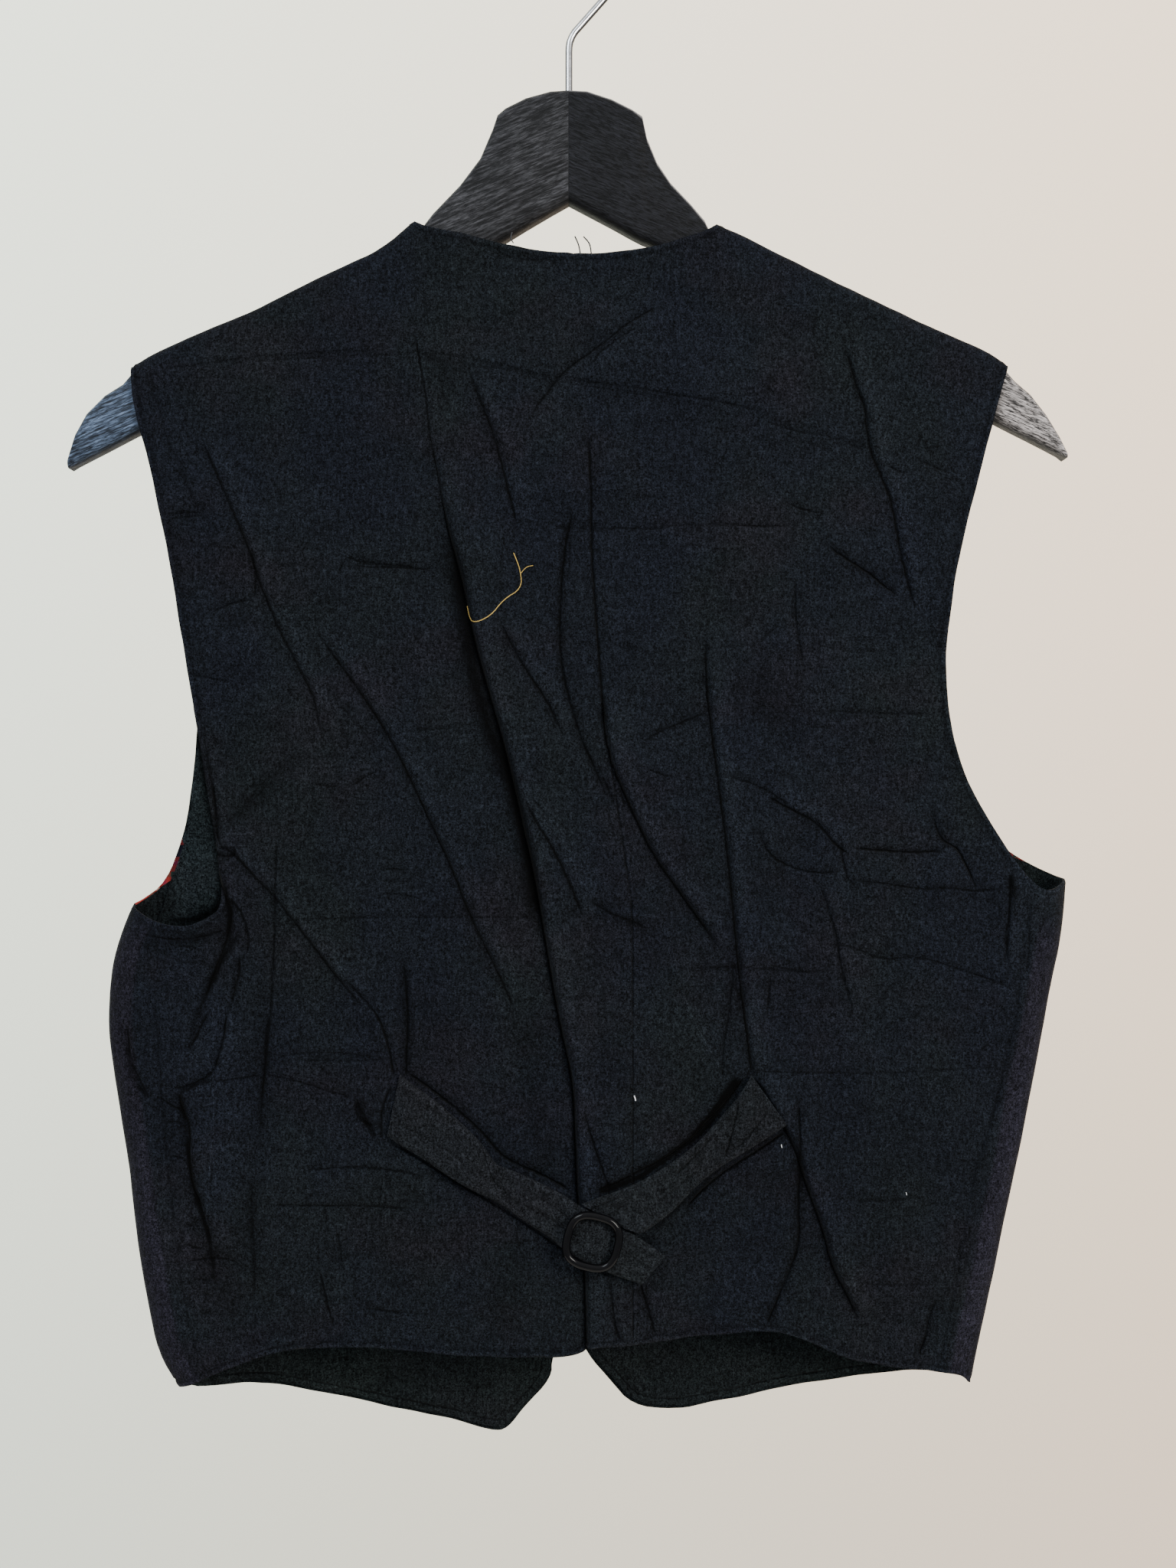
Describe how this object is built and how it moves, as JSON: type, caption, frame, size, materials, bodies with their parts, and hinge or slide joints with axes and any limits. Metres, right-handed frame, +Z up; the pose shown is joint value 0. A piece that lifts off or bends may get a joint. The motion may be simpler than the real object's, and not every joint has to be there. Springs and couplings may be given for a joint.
{
  "type": "vest on a hanger",
  "caption": "Sleeveless lined vest with pointed fronts and a cinch strap at the back, hung on a wooden hanger with a wire hook.",
  "frame": {"origin": "inside top of the hanger's wire hook, where a rail carries it", "axes": "+Z up, +Y towards the front of the vest, +X towards the wearer's right side"},
  "size_m": [0.441, 0.0502, 0.6822],
  "materials": {
    "black_cotton": "thin crinkled plain weave",
    "checked_cloth": "woven check",
    "black_lining": "plain weave",
    "black_plastic": "gloss",
    "black_wood": "black stain with open grain",
    "bright_wire": "plated"
  },
  "bodies": {
    "root": {"back_left": "black_cotton", "back_right": "black_cotton", "front_left": "checked_cloth", "front_right": "checked_cloth", "lining_left": "black_lining", "lining_right": "black_lining", "strap_left": "black_cotton", "strap_right": "black_cotton", "buckle": "black_plastic", "button_1": "black_plastic", "button_2": "black_plastic", "button_3": "black_plastic", "button_4": "black_plastic", "button_5": "black_plastic", "hanger_left": "black_wood", "hanger_right": "black_wood", "hanger_hook": "bright_wire"}
  },
  "joints": []
}
